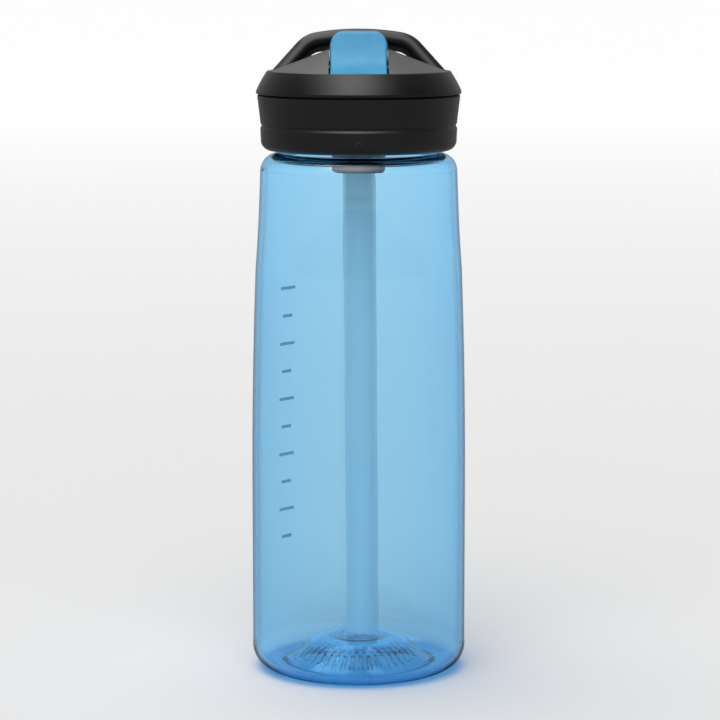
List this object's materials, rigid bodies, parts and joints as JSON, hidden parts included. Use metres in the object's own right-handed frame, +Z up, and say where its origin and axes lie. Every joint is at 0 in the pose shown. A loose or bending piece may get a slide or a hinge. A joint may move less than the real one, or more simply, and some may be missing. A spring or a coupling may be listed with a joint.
{
  "type": "water bottle",
  "caption": "Clear blue sports water bottle with a black screw cap, carry arch, drinking straw and a flip-up soft bite valve.",
  "frame": {"origin": "centre of the standing ring, on the table", "axes": "+Z up along the bottle's axis; the bite valve points to -Y; +X to the right of someone who faces the valve"},
  "size_m": [0.0806, 0.0806, 0.2408],
  "materials": {
    "clear_blue": "clear tinted copolyester, polished",
    "straw_plastic": "translucent, satin",
    "black_collar": "fine moulded texture",
    "black_shroud": "fine moulded texture",
    "black_housing": "fine moulded texture",
    "hub_plastic": "satin",
    "blue_silicone": "soft satin silicone",
    "seal_silicone": "translucent white silicone",
    "pin_steel": "drawn stainless wire"
  },
  "bodies": {
    "bottle": {"bottle_body": "clear_blue"},
    "gasket": {"cap_gasket": "seal_silicone"},
    "cap": {"cap_collar": "black_collar", "handle_shroud": "black_shroud", "spout_housing": "black_housing", "port_seal": "seal_silicone", "vent_valve": "seal_silicone", "straw": "straw_plastic", "straw_grommet": "seal_silicone", "pivot_pin_right": "pin_steel", "pivot_pin_left": "pin_steel"},
    "spout": {"spout_hub": "hub_plastic", "bite_valve": "blue_silicone"}
  },
  "joints": [
    {"name": "cap_lift", "type": "slide", "parent": "bottle", "child": "gasket", "axis": [0, 0, 1], "range_m": [0, 0.00626]},
    {"name": "cap_turn", "type": "hinge", "parent": "gasket", "child": "cap", "pos_m": [0, 0, 0.2128], "axis": [0, 0, 1], "range_deg": [0, 450]},
    {"name": "spout_flip", "type": "hinge", "parent": "cap", "child": "spout", "pos_m": [0, -0.0035, 0.229], "axis": [-1, 0, 0], "range_deg": [0, 105]}
  ],
  "couplings": [
    {"joint": "cap_lift", "follows": "cap_turn", "m_per_rad": 0.00079577}
  ]
}
